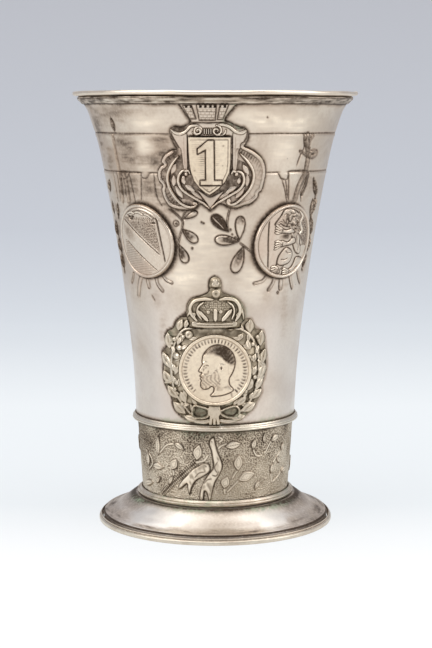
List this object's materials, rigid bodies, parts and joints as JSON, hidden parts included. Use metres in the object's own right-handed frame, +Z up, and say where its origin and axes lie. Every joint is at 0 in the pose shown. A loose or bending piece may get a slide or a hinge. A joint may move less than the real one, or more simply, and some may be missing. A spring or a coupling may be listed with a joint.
{
  "type": "trophy cup",
  "caption": "Flared footed silver beaker with applied scrolled cartouche, two roundels, a crowned laurel wreath around a medal, and a chased frieze.",
  "frame": {"origin": "centre of the foot's resting ring, on the surface that the cup stands on", "axes": "+Z up along the cup's axis; -Y towards the front, where the medal is"},
  "size_m": [0.1152, 0.1152, 0.1755],
  "materials": {
    "raised_silver": "hand-polished silver sheet, softly tarnished warm grey",
    "polished_silver": "bright worn silver, tarnish in the grooves",
    "chased_silver": "punched and chased silver, darkened ground",
    "stamped_silver": "stamped silver relief, dark oxide in the hollows",
    "struck_silver": "struck silver medal, satin field"
  },
  "bodies": {
    "root": {"beaker_wall": "raised_silver", "beaker_bottom": "raised_silver", "lip_moulding": "polished_silver", "collar_ring": "polished_silver", "frieze_band": "chased_silver", "foot_ring": "polished_silver", "foot_dome": "polished_silver", "foot_rim": "polished_silver", "cartouche": "stamped_silver", "shield": "stamped_silver", "left_roundel": "stamped_silver", "right_roundel": "stamped_silver", "wreath_mount": "stamped_silver", "wreath_crown": "stamped_silver", "portrait_medal": "struck_silver"}
  },
  "joints": []
}
